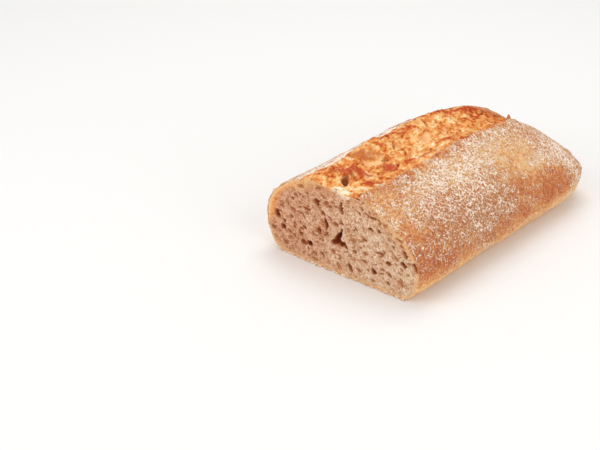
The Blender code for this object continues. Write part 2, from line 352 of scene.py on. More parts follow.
# The torn crumb of the band along the top.
tornBand = {
    "cells": (150, 480),
    "length": 180,
    "tuck": 1.5,  # how far the torn crumb runs on under the crust
    "tuckDrop": 1.4,
    "thickness": (1, 9, 10),  # at the slice, further in, and over what distance it grows
    # how far small swirls push the pattern about, with their size and shift
    "swirlsAcross": [(2.4, 9, (3, 1, 0)), (0.8, 2.6, (0, 7, 2))],
    "swirlsAlong": [(3.6, 11, (8, 2, 5)), (0.8, 2.8, (4, 0, 9))],
    # share, size and shift of the strands that run along and of those that run across
    "strandPatterns": [(0.6, (2.8, 7.5, 1), (0, 0, 4)), (0.4, (6.5, 2.6, 1), (9, 0, 1))],
    "strandSharpness": 2.2,
    "strandHeight": 1,
    "roughness": [(0.2, 1.5, (1, 2, 3)), (0.12, 0.85, (5, 1, 2))],
    "swelling": [(1, 4.2, (2, 4, 6))],  # the soft lumps between the strands
    "toastBlotches": [(0.5, 2.4, (6, 6, 2))],
    "brownBlotches": [(0.8, (1.8, 3.2, 1), (2, 5, 1))],
    "redBlotches": [(0.7, 1.8, (5, 5, 5))],
    "toastedHeight": 0.9,
    "lumpHeight": 1.2,
    "hollowDepth": 2.4,
    "pits": 420,
    "pitArea": ((-36, 16), (0, 178)),
    "pitSize": (0.4, 1.5),
    "pitTurn": 40,
    "pitDepth": 0.9,
    "seed": 5,
    # middle in x and along, half width, half length, tilt in degrees and depth
    "holes": [
        (-8.8, 14.2, 2.6, 4.6, 34, 4.6), (-7.4, 50, 1, 2.6, -60, 3), (-7, 19.5, 0.8, 4.4, 80, 2),
        (-14, 66, 0.9, 2.6, 40, 2), (3, 84, 0.8, 2.4, -30, 1.8), (-20, 104, 1, 2.6, 60, 2),
    ],
    # how far the swirls push these marks across and along, where their edges start and end, and
    # the middle in x and along, half width, half length and tilt of each
    "marks": {
        "lumps": (0.3, 0.2, 0.6, 1.2, [
            (-2.4, 2, 6.8, 5.6, 8), (-10.5, 122.5, 3.4, 3, 20), (6.5, 10, 3.6, 2.4, 60),
        ]),
        "hollows": (0.4, 0.4, 0.3, 1.05, [(-15, 43, 7.5, 11, -22), (-7, 91, 4, 6, 20)]),
        "paleFloors": (0.6, 0.6, 0.6, 1.15, [(-11.3, 42.3, 3.8, 8.5, -19), (-7.5, 91, 3, 5, 20)]),
        # the far wall of the big hollow, which is painted darker brown as shade
        "shadedWalls": (0.5, 0.5, 0.4, 1.2, [(-20.3, 43.5, 4.6, 12, -28)]),
        "redMarks": (0.9, 0.9, 0.6, 1.1, [(-0.8, 45.6, 5.4, 4, 0), (-9.5, 25.8, 2.7, 9, -56)]),
    },
    "brownEnd": (105, 150),  # between these it browns towards the far end
    "brownBorder": (88, 116),  # and between these its left border does
    "dustSpan": (2, 24, 86, 104),  # where along flour lies on its left border
    # middle in x and along, size across and along, and how much browner or paler than the rest
    "tints": [
        (-1, 57, 5, 6, -0.35), (-2, 88, 5, 7, -0.35), (-7, 79, 5, 5, 0.35), (-23, 12, 7, 8, 0.4),
        (-4, 70, 5, 6, 0.15), (5.6, 11, 4.5, 4.5, -0.95), (-20, 33, 6, 5, 0.2), (-5, 38, 4, 5, 0.25),
    ],
    # x and along of both ends, half width and strength of the long toasted strands
    "strands": [
        (-18.5, 15.8, -1.4, 28.6, 2.8, 1), (-16, 53, -7.5, 53, 1.4, 0.6), (1.5, 20, 8.5, 28.5, 1.5, 0.9),
        (-29, 12, -17, 21, 1.4, 0.7), (-27, 58, -22, 74, 2, 0.7), (3, 58, 8, 78, 1.5, 0.8),
        (-20, 80, -21, 94, 2.2, 0.7), (0, 92, 6, 112, 1.6, 0.8), (-20, 140, -4, 150, 1.8, 0.8),
        (-24, 128, -14, 162, 2.6, 0.9),
    ],
}


def pressBand():
    pits, holes = [HoleField((-40, -4), (20, 184), 0.15) for _ in range(2)]
    draw = random.Random(tornBand["seed"])
    least, most = tornBand["pitSize"]
    for _ in range(tornBand["pits"]):
        x, along = [draw.uniform(*span) for span in tornBand["pitArea"]]
        size = least + (most - least) * draw.random() ** 2.2
        turn, stretch = draw.uniform(-tornBand["pitTurn"], tornBand["pitTurn"]), draw.uniform(1, 2)
        pits.press(x, along, size, size * stretch, turn, size * tornBand["pitDepth"])
    for hole in tornBand["holes"]:
        holes.press(*hole)
    for field in (pits, holes):
        field.soften(3)
    return pits, holes


bandPits, bandHoles = pressBand()


# How much of the nearest of some ellipses a spot has: 1 in its middle and 0 outside.
def nearest(ellipses, x, along, low, high):
    found = np.zeros_like(x)
    for midX, midAlong, halfWidth, halfLength, tilt in ellipses:
        a, b = turned(x - midX, along - midAlong, tilt)
        found = np.maximum(found, 1 - smoothStep(low, high, np.hypot(a / halfWidth, b / halfLength)))
    return found


def nearStrand(x, along, strand):
    x0, along0, x1, along1, halfWidth, strength = strand
    dx, dy = x1 - x0, along1 - along0
    share = np.clip(((x - x0) * dx + (along - along0) * dy) / (dx * dx + dy * dy), 0, 1)
    away = np.hypot(x - x0 - share * dx, along - along0 - share * dy)
    taper = halfWidth * (0.45 + 0.55 * np.sin(np.pi * np.clip(share, 0.02, 0.98)))
    return strength * np.exp(-((away / taper) ** 2))


def craggy(spot):
    return noise.hetero_terrain(spot, *bandForm["cragPattern"])


# How high the torn crumb stands, and what its colours follow.
def bandSurface(x, along):
    level = topLevel(x, along)
    left, right = bandEdges(along)
    opened = bandOpen(along)
    inside = opened * plateau(x, left, left + bandForm["leftBlend"], right - bandForm["rightBlend"], right)
    flat = flatPlaces(x, along)
    height, *size = bandForm["crag"]
    crags = height * (noiseAt(flat, size, (0, 0, 1.7), craggy) - 0.5)
    depth, width, offset = bandForm["groove"]
    groove = -depth * bell(x, right - offset, width)

    swirlX, swirlY = layered(flat, tornBand["swirlsAcross"]), layered(flat, tornBand["swirlsAlong"])

    def pushed(shareX, shareY):
        return x + shareX * swirlX, along + shareY * swirlY

    swirled = flatPlaces(*pushed(1, 1))
    strands = 0
    for share, size, shift in tornBand["strandPatterns"]:
        ridged = 1 - tornBand["strandSharpness"] * np.abs(noiseAt(swirled, size, shift))
        strands = strands + share * ridged
    swelling = layered(swirled, tornBand["swelling"])
    toasted = np.max([nearStrand(*pushed(0.4, 0.4), strand) for strand in tornBand["strands"]], axis=0)
    toasted = toasted * (1 + layered(flat, tornBand["toastBlotches"]))
    lumps, bowl, pale, wallShadeMask, red = [
        nearest(ellipses, *pushed(shareX, shareY), low, high)
        for shareX, shareY, low, high, ellipses in tornBand["marks"].values()
    ]
    wallShadeMask = wallShadeMask * np.clip(1 + layered(flat, tornBand["brownBlotches"]), 0, 1.15)
    red = red * (1 + layered(flat, tornBand["redBlotches"]))
    smooth = 1 - 0.85 * np.max([pale, 0.7 * wallShadeMask, 0.6 * bowl, 0.6 * red], axis=0)
    pits = smooth * bandPits.read(*pushed(0.35, 0.35))
    holes = bandHoles.read(*pushed(0.2, 0.2))

    fine = tornBand["strandHeight"] * (strands - 0.3) + layered(flat, tornBand["roughness"]) + swelling
    fine = (fine + tornBand["toastedHeight"] * toasted) * smooth
    fine = fine + tornBand["lumpHeight"] * lumps - tornBand["hollowDepth"] * bowl
    torn = crags * (0.55 + 0.45 * smooth) + groove + fine - np.maximum(pits, holes)
    tucked = tornBand["tuckDrop"] * smoothStep(-0.8, 1.2, np.maximum(left - x, x - right)) + 4 * (1 - opened)
    browner = bell(x, left, 3) * (0.3 + smoothStep(*tornBand["brownBorder"], along))
    browner = browner + 0.3 * bell(x, right, 1.2) + 0.3 * smoothStep(*tornBand["brownEnd"], along)
    for midX, midAlong, sizeAcross, sizeAlong, amount in tornBand["tints"]:
        browner = browner + amount * bell(x, midX, sizeAcross) * bell(along, midAlong, sizeAlong)
    whitened = plateau(along, *tornBand["dustSpan"])
    looks = {
        "ridge": np.clip(0.5 + smooth * (0.4 * (strands - 0.3) + 0.1 * crags - 0.2 * swelling), 0, 1),
        "char": np.clip(np.maximum(toasted, red), 0, 1),
        "wall": wallShadeMask,
        "floor": pale,
        "cream": lumps,
        "pitted": np.clip(pits / 1.2, 0, 1),
        # the deeper the hole, the darker its brown: painted shade
        "deep": np.clip(holes / 3, 0, 1),
        "border": browner,
        "dust": bell(x, left + 0.5, 3) * whitened + 0.55 * bell(x, right + 0.2, 2.4),
    }
    places = stacked(x, along, level)
    return level + layered(places, loafForm["bulges"]) + inside * torn - tucked, looks


def makeTornBand(material):
    piece = makeSlab("torn_band", tornBand["cells"], 1)
    a, b, c = pointsOf(piece).T
    along = (b + 1) / 2 * tornBand["length"]
    left, right = bandEdges(along)
    tuck = tornBand["tuck"]
    x = left - tuck + (a + 1) / 2 * (right - left + 2 * tuck)
    z, looks = bandSurface(x, along)
    atSlice, further, over = tornBand["thickness"]
    thickness = atSlice + (further - atSlice) * smoothStep(0, over, along)
    z = np.where(c < -0.5, z - thickness, z)
    setPoints(piece, inFrame(stacked(x, along, z)) * mm)
    setValues(piece, looks)
    finishPiece(piece, material, 75)


# The baked crust all round, open at the slice and let down under the band.
crustBody = {
    "coarseCells": (25, 65, 25),  # across, along and up, each cut in four again
    "rim": 0.9,  # thickness of the cut crust round the slice
    # how unevenly the rim stands out, and how unevenly the crust tore and curled along the band
    "raggedRim": [(0.45, 1.7, (3, 0, 3))],
    "tornEdge": [(3, 7.5, (2, 7.5, 7)), (1.4, 2.8, (2, 2.8, 7))],
    "raggedLip": [(0.7, 4.5, (0, 4, 8))],
    "pocket": 8,  # depth that the crumb face reaches into the loaf
    "bandDrop": 7,  # how far the body keeps below the torn band
    "bandSetBack": 2.5,
    "wrinkles": [(0.30, 6.5, (6.5, 0, 0)), (0.22, 3.2, (3.2, 0, 0)), (0.14, 1.9, (1.9, 0, 0))],
    "blisters": (0.45, 5),  # height and size
    "peak": (10.6, 158, 4.6, 3.4),  # x, along, height and width
    "creases": [(15, 42, 29, 46.5, 0.8, 0.7), (38, 96, 50, 118, 1.2, 0.5)],
    "flour": (0.24, 0.57, 10, 48),  # low down, high up, and between which heights it grows
    "toast": (0, 0.5, 0.42),  # at the foot, halfway up and on top
    "toastLevels": (5, 22, 50),  # up to where it is the foot's, and where it is the side's and the top's
    "topLevels": (30, 44),  # between these the side turns into the top
    "footToastAndShade": (0.9, 1.2),  # how much darker it is just over the base, partly browner bottom crust and partly a painted contact shadow, and up to what height
    # middle in x, along and z, size along and up, and what it adds to flour and to toast
    "patches": [
        (50, 70, 38, 42, 14, 0.02, 0.14), (26, 75, 54, 40, 10, 0.12, -0.22), (48, 52, 41, 22, 8, -0.08, 0.06),
        (32, 86, 52, 20, 6, 0.24, -0.1), (50, 26, 38, 12, 6, -0.22, 0.06), (20, 18, 55, 14, 6, -0.24, 0.05),
        (58, 26, 22, 20, 9, -0.06, 0.2), (34, 180, 42, 13, 10, 0.34, -0.2), (54, 112, 37, 14, 9, -0.15, 0.12),
        (35, 117, 49, 9, 6, -0.2, -0.06), (44, 147, 41, 14, 6, 0.26, -0.1), (36, 9, 49, 7, 6, -0.18, 0),
        (46, 14, 41, 8, 8, -0.16, -0.04), (25, 8, 52, 16, 9, -0.16, -0.1), (57, 146, 27, 19, 12, -0.36, 0.18),
        (47, 168, 37, 10, 8, 0.3, -0.08), (59, 48, 25, 26, 8, 0.1, -0.08), (21, 76, 55, 14, 5, 0.22, 0),
        (16, 79, 57, 5, 3, -0.6, 0.18), (16, 57, 57, 4, 3, -0.5, 0.14), (15.5, 43, 57, 4, 3, -0.4, 0.14),
        (17, 36, 56, 12, 5, 0.2, -0.05), (57, 8, 26, 15, 16, -0.14, 0.18), (56, 172, 27, 12, 14, 0.42, -0.04),
        (42, 6, 45, 10, 9, -0.12, 0), (50, 178, 8, 26, 10, 0.05, -0.35), (38, 127, 44, 24, 17, -0.22, -0.3),
        (-16, 168, 53, 20, 13, -0.6, 0), (-50, 4, 44, 14, 9, -0.5, -0.22), (58, 60, 16, 60, 9, 0, 0.05),
        (-55, 110, 30, 60, 14, -0.2, 0.16),
    ],
    # where the skin crackled brown below the flour: middle in x, along and z, size along and up
    "crackled": (54, 62, 33, 48, 15),
    "uneven": {  # strength, size and shift of the slow changes
        "flour": [(0.14, 24, (1, 5, 3)), (0.10, 9, (7, 1, 3))],
        "toast": [(0.14, 30, (4, 2, 8)), (0.10, 11, (2, 2, 6))],
        "leftFlourAndHighlight": [(2, 9, (3, 8, 1)), (1.4, 3.5, (6, 2, 2))],
    },
    # along the band: how far out, how wide and how strong, and where along it comes (and goes)
    # flour laid thick beside the band's left border, partly real flour and partly a painted highlight along
    # the left crest
    "leftFlourAndHighlight": (2.4, 4, 0.62, -8, 10, 76, 118),
    "leftBrown": (1.5, 4, 0.35, 96, 124),
    "lipBare": (0.9, 2, 0.55, 24, 60),
    "lipSpots": [(2, 8, (5, 5, 1))],
}


def crustRelief(places):
    x, along, _ = places.T
    midX, midAlong, height, width = crustBody["peak"]
    peak = height * np.clip(1 - np.hypot(x - midX, along - midAlong) / width, 0, 1) ** 1.3
    height, width = bandForm["lip"]
    lip = height * bell(x, bandEdges(along)[1] + width / 2, width) * bandOpen(along)
    ragged = 1 + layered(flatPlaces(x, along), crustBody["raggedLip"])
    return layered(places, loafForm["bulges"]) + lip * ragged + peak


def crustWrinkles(places):
    height, size = crustBody["blisters"]
    blisters = height * smoothStep(0.28, 0.62, noiseAt(places, size, (2, 9, 4)))
    creases = sum(nearStrand(places[:, 0], places[:, 1], crease) for crease in crustBody["creases"])
    return layered(places, crustBody["wrinkles"]) + blisters - creases


def nearPatch(places, midX, midAlong, midZ, sizeAlong, sizeUp):
    x, along, z = places.T
    across = np.hypot((x - midX) / 1.2, z - midZ) / sizeUp
    return np.exp(-(across**2) - ((along - midAlong) / sizeAlong) ** 2)


# How much flour lies on a spot of the crust, where 1 is much, how far it is browned and how far its skin
# crackled. The flour also lays in a painted highlight along the left crest, and the browning a painted
# contact shadow just over the base.
def crustLooks(places):
    x, along, z = places.T
    left, right = bandEdges(along)
    lowFlour, highFlour, fromLevel, toLevel = crustBody["flour"]
    footToast, sideToast, topToast = crustBody["toast"]
    footToastAndShade, underLevel = crustBody["footToastAndShade"]
    flour = lowFlour + (highFlour - lowFlour) * smoothStep(fromLevel, toLevel, z)
    footEnd, side, top = crustBody["toastLevels"]
    toast = footToast + (sideToast - footToast) * smoothStep(footEnd, side, z)
    toast = toast + (topToast - sideToast) * smoothStep(side, top, z)
    # Darker just over the base: partly the browner bottom crust, partly a painted contact shadow.
    toast = toast + footToastAndShade * (1 - smoothStep(0.3, underLevel, z))
    for *patch, addFlour, addToast in crustBody["patches"]:
        near = nearPatch(places, *patch)
        flour = flour + addFlour * near
        toast = toast + addToast * near
    uneven = {name: layered(places, layers) for name, layers in crustBody["uneven"].items()}
    patchy = 0.95 + uneven["leftFlourAndHighlight"]
    # Flour laid thick beside the band's left border: partly real flour, partly the painted bright line of
    # light along the left crest.
    out, width, thick, *span = crustBody["leftFlourAndHighlight"]
    whitened = bell(x, left - out, width * (0.75 + 0.5 * np.clip(patchy, 0, 1.6)))
    whitened = whitened * patchy * plateau(along, *span)
    out, width, dark, *span = crustBody["leftBrown"]
    darkening = bell(x, left - out, width) * smoothStep(*span, along)
    out, width, bare, *span = crustBody["lipBare"]
    spotty = np.clip(0.5 + layered(places, crustBody["lipSpots"]), 0.1, 1.2)
    lip = bell(x, right + out, width) * bandOpen(along) * spotty * (0.25 + 0.75 * smoothStep(*span, along))
    onTop = smoothStep(*crustBody["topLevels"], z)
    flour = flour + uneven["flour"] + onTop * (thick * whitened - bare * lip - 0.5 * darkening)
    toast = toast + uneven["toast"] + onTop * (dark * darkening + 0.34 * lip - 0.2 * whitened)
    return np.clip(flour, 0, 3), np.clip(toast, 0, 1.4), nearPatch(places, *crustBody["crackled"])


def distanceTo(spots, line):
    least = np.full(len(spots), 1e9)
    for point in line:
        least = np.minimum(least, np.hypot(spots[:, 0] - point[0], spots[:, 1] - point[1]))
    return least


def densely(line):
    shares = np.linspace(0, 1, 6)[:-1, None]
    return np.concatenate([a + (b - a) * shares for a, b in zip(line, line[1:])])


# Selects the faces that lie at 0 on an axis.
def editFlatSide(piece, axis):
    editWith(piece, "FACE", facesWhere(piece, np.abs(pointsOf(piece)[:, axis]) < 0.01 * mm))


def makeCrust(material):
    selectOnly()
    bpy.ops.mesh.primitive_cube_add(size=2)
    piece = bpy.context.object
    piece.name = "floured_crust"
    for axis, cells in enumerate(crustBody["coarseCells"]):
        ends = pointsOf(piece)[edgeEnds(piece)]
        editWith(piece, "EDGE", np.abs(ends[:, 0, axis] - ends[:, 1, axis]) > 1e-4)
        bpy.ops.mesh.subdivide(number_cuts=cells - 1)
        endEdit()
    finer = piece.modifiers.new("finer", "SUBSURF")
    finer.subdivision_type = "SIMPLE"
    finer.levels = finer.render_levels = 2
    bpy.ops.object.modifier_apply(modifier=finer.name)

    setPoints(piece, onLoaf(pointsOf(piece)) * mm)
    for axis in (2, 1):
        editFlatSide(piece, axis)
        bpy.ops.mesh.dissolve_faces()
        endEdit()
    editFlatSide(piece, 1)
    bpy.ops.mesh.inset(thickness=crustBody["rim"] * mm)
    inwards = (0, crustBody["pocket"] * mm, 0)
    bpy.ops.mesh.extrude_region_move(TRANSFORM_OT_translate={"value": inwards})
    endEdit()

    points = pointsOf(piece) / mm
    x, along, z = points.T
    out = normalsOf(piece)
    out[along < loafForm["sliceGuard"], 1] = 0
    out /= np.maximum(1e-6, np.linalg.norm(out, axis=1))[:, None]
    flatFoot, fullRelief = loafForm["reliefLevels"]
    relief = crustRelief(points) * smoothStep(flatFoot, fullRelief, z)
    relief = relief + crustWrinkles(points) * smoothStep(flatFoot, 3, z)
    left, right = bandEdges(along)
    torn = layered(points, crustBody["tornEdge"])
    torn = np.clip(torn + 0.4, -0.5, 3) * smoothStep(3, 9, along)
    under = plateau(x, left + torn, left + torn + 1.2, right - torn - 1.2, right - torn)
    under = under * bandOpen(along) * (z > 30)
    moves = out * (relief - crustBody["bandDrop"] * under)[:, None]
    moves[:, 1] += crustBody["bandSetBack"] * under * (along < 3)

    # The inner rings of the rim follow the outer ring beside them.
    fromSkin = np.minimum(distanceTo(points[:, [0, 2]], densely(outline)), z)
    inner = (along < crustBody["pocket"] + 0.1) & (fromSkin > 0.45 * crustBody["rim"])
    outerAt = np.flatnonzero((along < 0.01) & ~inner)
    beside = points[outerAt][:, [0, 2]]
    for i in np.flatnonzero(inner):
        away = np.hypot(*(beside - points[i, [0, 2]]).T)
        moves[i] = moves[outerAt[np.argmin(away)]]
    rim = inner.copy()
    rim[outerAt] = True
    moves[:, 1] += layered(points, crustBody["raggedRim"]) * (rim & (along < 0.01))
    flour, toast, crackled = crustLooks(points)
    setPoints(piece, inFrame(points + moves) * mm)
    setValues(piece, {"flour": flour, "toast": np.where(rim, 0.8 * toast, toast), "crackled": crackled})
    finishPiece(piece, material, 50)
    bare = rim | (under > 0)
    return pointsOf(piece), normalsOf(piece), np.where(bare, 0, flour)


# The cut crumb that the slice shows, a closed slab with its holes in its face.
crumbFace = {
    "cells": (420, 210),
    "inset": 0.75,  # how far in from the baked outline it ends, and over the base
    "footInset": 0.5,
    "backing": 8.5,  # how deep the slab is, and how much smaller its back
    "backingShare": 0.86,
    "backingMiddle": (0, 28),
    "seed": 11,
    # x, z, length, width and tilt of the holes that stand out, as in the solid, and how deep
    "largeHoles": [
        (-2.5, 25, 10.4, 3.6, 60, 4.4), (3, 21, 5.6, 2.6, -45, 3.8), (-24.5, 13, 4.8, 3.8, -10, 4.2),
        (-30, 12, 4.8, 4, -10, 2), (-51.5, 25.5, 5.4, 3.8, -65, 2.6), (-0.5, 45, 6.8, 3.2, -75, 1.9),
        (-12.5, 31, 8, 3.3, -80, 2.3), (-17.5, 24.5, 4.4, 3.8, -25, 2.2), (-19.5, 43.5, 5.2, 3.8, -55, 2.4),
        (-27.5, 36.5, 6.8, 2.6, -5, 1.6), (-38.5, 32.5, 4.6, 2.8, -10, 1.4), (-46, 18, 3.8, 3.2, 0, 2.6),
        (-29, 23, 4.4, 1.8, -30, 2.2), (13, 47, 3.6, 1.6, -35, 1.6), (23, 47, 5.2, 1.8, 0, 1.6),
        (22, 39, 3.8, 1.8, -5, 2.4), (17, 31, 5.6, 2.6, -25, 1.2), (43, 39, 6, 1.8, -10, 1.6),
        (47.5, 30.5, 5.6, 3, -60, 2), (46.5, 23.5, 4.8, 3.2, -35, 3.2), (55.2, 24.4, 7, 2.8, -68, 3),
        (35.5, 20.5, 4.2, 3, -10, 1.8), (25, 11, 5, 3.2, -40, 3), (36.5, 13, 5, 3, -30, 1.5),
        (35.5, 7, 3.2, 2.2, -35, 1.8), (7, 7, 7, 3, -65, 1.9), (13.5, 7.5, 4.2, 2.4, -55, 1.3),
        (18, 15.5, 4.2, 2.2, -5, 1.4), (45, 10, 6.2, 4, -15, 1.3),
    ],
    # thinner ones that run into them or are too fine for the solid
    "slits": [
        (-4.2, 21.2, 8.2, 3.6, 20, 3.2), (-1.2, 22, 6.4, 3.2, -50, 3.6), (-0.4, 30, 4.6, 1.4, 75, 4),
        (0.2, 21.8, 4.6, 2.4, -45, 4.6), (-26, 9.2, 2.4, 1.2, -45, 2), (-15, 30.5, 6.4, 3.2, -75, 0.8),
        (-39.8, 27.3, 3.2, 1.4, -35, 2.2), (-45.4, 22.2, 2.6, 2, 0, 1.5), (-38.8, 40.4, 2.8, 1.8, -20, 1.5),
        (-33, 19.2, 2.2, 1.5, -20, 1.5), (-39.5, 13, 2.4, 1.3, 0, 1.4), (18.4, 48.2, 4.2, 1.2, -38, 1.3),
        (28, 46.6, 4.8, 1.2, -30, 1.6), (28, 39.8, 3.8, 1.4, -5, 1.5), (45, 35.4, 3.6, 1.5, -10, 1.3),
        (31.5, 14.6, 3.6, 2, -10, 1.4),
    ],
    "lobes": 3,
    "smallHoles": 64,
    "smallSize": (1.8, 5.2),
    "smallFlatness": (0.4, 0.75),
    "smallDepth": 0.27,
    "lean": -18,  # the bubbles slope down to the right, in degrees
    "smallTurn": 25,
    "poreTurn": 50,
    # how many, and the least and greatest radius of the finer pores
    "pores": [(300, 0.7, 1.4), (1100, 0.45, 0.8), (4200, 0.28, 0.45)],
    "poreDepth": 0.75,
    # how far the holes are pushed out of round, with the size and shift of that
    "pushAcross": [(0.9, 5.5, (1, 0, 4)), (0.25, 1.7, (0, 6, 4))],
    "pushUp": [(0.9, 5.5, (7, 3, 0)), (0.25, 1.7, (2, 6, 9))],
    "grain": [(0.12, 1, (3, 3, 1)), (0.5, 13, (6, 1, 1))],
    # how far in the crumb browned, and where further: how much, and over which spans of x and z
    # (the third is over the foot, all across)
    "rindWidth": 0.7,
    "rindWider": [
        (8, (-40, -57), (16, 28)),
        (6.5, (-12, -34), (40, 50)),
        (0.9, (-99, -98), (8, 2)),
        (1.7, (12, 34), (4, 12)),
    ],
    "scorched": ((-26, -52), (8, 26)),  # over which spans of x and z the rind turns orange
    "warmed": ((-44, -16), (24, 38)),
    "fold": (-3, 2.2, 0.7),  # x, width and depth of the fold down from the top, where two doughs met
    "overhang": (-0.5, 7, 4.4),  # middle, half width and drop of the torn crumb over the edge
}


# The baked outline at the slice, as the crust and the band have it, and the crumb's own inside it.
def sliceOutline():
    x, z = outline.T
    tangent = np.gradient(outline, axis=0)
    out = stacked(tangent[:, 1], -tangent[:, 0])
    out /= np.linalg.norm(out, axis=1)[:, None]
    relief = crustRelief(stacked(x, 0 * x, z)) * smoothStep(*loafForm["reliefLevels"], z)
    skin = outline + out * relief[:, None]
    left, right = bandEdges(0 * x)
    onBand = plateau(x, left, left + 1.5, right - 1.5, right) * (z > loafForm["topFrom"])
    torn, _ = bandSurface(x, 0 * x)
    skin[:, 1] += onBand * (torn - skin[:, 1])
    inset = skin - out * crumbFace["inset"]
    inset[:, 1] = np.maximum(inset[:, 1], crumbFace["footInset"])
    return skin, inset


# A hole with a few smaller ones round its edge, as bubbles that ran together leave it.
def pressCavity(field, draw, cavity):
    x, z, length, width, tilt, depth = cavity
    field.press(x, z, length / 2, width / 2, tilt, depth)
    for _ in range(crumbFace["lobes"]):
        around, outwards = draw.uniform(0, math.tau), draw.uniform(0.5, 0.85)
        a, b = outwards * length / 2 * math.cos(around), outwards * width / 2 * math.sin(around)
        toX, toZ = turned(a, b, -tilt)
        size = width / 2 * draw.uniform(0.4, 0.7)
        turn, lobeDepth = draw.uniform(-90, 90), depth * draw.uniform(0.4, 0.75)
        field.press(x + toX, z + toZ, size * 1.4, size, turn, lobeDepth)


def crumbHoles():
    pores, holes = [HoleField((-64, -2), (64, 68), 0.1) for _ in range(2)]
    draw = random.Random(crumbFace["seed"])
    lean, smallTurn, poreTurn = crumbFace["lean"], crumbFace["smallTurn"], crumbFace["poreTurn"]
    large = crumbFace["largeHoles"]
    taken = [(x, z, length / 2) for x, z, length, *_ in large]
    cavities = large + crumbFace["slits"]
    while len(taken) < len(large) + crumbFace["smallHoles"]:
        x, z = draw.uniform(-56, 56), draw.uniform(4, 56)
        length = draw.uniform(*crumbFace["smallSize"])
        if not insideOutline(x, z, 4):
            continue
        if any(math.hypot(x - a, z - b) < length / 2 + r + 0.7 for a, b, r in taken):
            continue
        tilt = lean + draw.uniform(-smallTurn, smallTurn)
        width = length * draw.uniform(*crumbFace["smallFlatness"])
        cavities = cavities + [(x, z, length, width, tilt, crumbFace["smallDepth"] * length)]
        taken.append((x, z, length / 2))
    finer = random.Random(crumbFace["seed"] + 1)
    for cavity in cavities:
        pressCavity(holes, finer, cavity)
    for count, least, greatest in crumbFace["pores"]:
        for _ in range(count):
            x, z = finer.uniform(-62, 62), finer.uniform(0, 64)
            radius = finer.uniform(least, greatest)
            tilt = lean + finer.uniform(-poreTurn, poreTurn)
            longer, shorter = radius * finer.uniform(1, 1.8), radius * finer.uniform(0.5, 0.9)
            pores.press(x, z, longer, shorter, tilt, crumbFace["poreDepth"] * radius)
    pores.soften(2)
    holes.soften(3)
    return pores, holes


def insideOutline(x, z, rim):
    if z < rim or np.min(np.hypot(outline[:, 0] - x, outline[:, 1] - z)) < rim:
        return False
    inside = False
    for before, after in zip(outline, np.roll(outline, -1, axis=0)):
        if (before[1] > z) != (after[1] > z):
            crossing = before[0] + (z - before[1]) / (after[1] - before[1]) * (after[0] - before[0])
            inside ^= x < crossing
    return inside


def makeCrumbFace(material):
    piece = makeSlab("crumb_face", crumbFace["cells"], 2)
    a, b, c = pointsOf(piece).T
    front, back = c > -0.5, c < -1.5
    _, inset = sliceOutline()
    spot = section((a + 1) / 2, (b + 1) / 2, inset)
    x, z = spot.T
    fromRim = np.minimum(distanceTo(spot, densely(inset)), z - crumbFace["footInset"])
    pores, holes = crumbHoles()
    places = flatPlaces(x, z)
    pushX, pushZ = layered(places, crumbFace["pushAcross"]), layered(places, crumbFace["pushUp"])
    pore = pores.read(x + pushX, z + pushZ)
    cave = holes.read(x + 0.45 * pushX, z + 0.45 * pushZ)
    near = smoothStep(0.1, 1.6, fromRim)
    foldX, foldWidth, foldDepth = crumbFace["fold"]
    fold = foldDepth * bell(x, foldX + 0.04 * (z - 40), foldWidth) * smoothStep(26, 36, z)
    grain = 0.2 + layered(places, crumbFace["grain"])
    depth = 0.12 + near * (pore + grain + fold) + cave * smoothStep(0, 0.8, fromRim)
    y = np.where(front, depth, np.where(back, crumbFace["backing"], 1.2))
    midX, midZ = crumbFace["backingMiddle"]
    share = np.where(back, crumbFace["backingShare"], 1)
    x, z = midX + share * (x - midX), midZ + share * (z - midZ)
    setPoints(piece, inFrame(stacked(x, y, z)) * mm)

    def within(acrossSpan, upSpan):
        return smoothStep(*acrossSpan, x) * smoothStep(*upSpan, z)

    rindWidth = crumbFace["rindWidth"] + sum(more * within(*spans) for more, *spans in crumbFace["rindWider"])
    rind = np.exp(-((np.maximum(0, fromRim) / rindWidth) ** 1.3))
    midX, halfWidth, drop = crumbFace["overhang"]
    edge = drop * np.sqrt(np.clip(1 - ((x - midX) / halfWidth) ** 2, 0, 1)) + 0.3 * pushX
    looks = {
        # pore and cave darken the colour in the holes: partly the crumb's browner walls, partly painted shade
        "pore": np.clip(pore, 0, 1) ** 1.3 * near * front,
        "cave": np.clip(cave / 2.7, 0, 1) * front,
        # holes that open in the rind keep their own colour
        "rind": rind * (1 - 0.85 * smoothStep(0.5, 1.8, cave) * front),
        "scorch": within(*crumbFace["scorched"]),
        # painted shade with a painted warm reflection: the left of the face, and left of the fold, is made
        # pinker and darker
        "leftness": 0.7 * (1 - smoothStep(-60, 40, x)) + 0.3 * (1 - smoothStep(-20, 8, x)),
        "overhang": (1 - smoothStep(0.2, 1.25, fromRim / np.maximum(0.01, edge))) * (z > 45),
        "warm": bell(np.maximum(0, fromRim), 0, 7) * within(*crumbFace["warmed"]),
    }
    setValues(piece, looks)
    finishPiece(piece, material, 75)


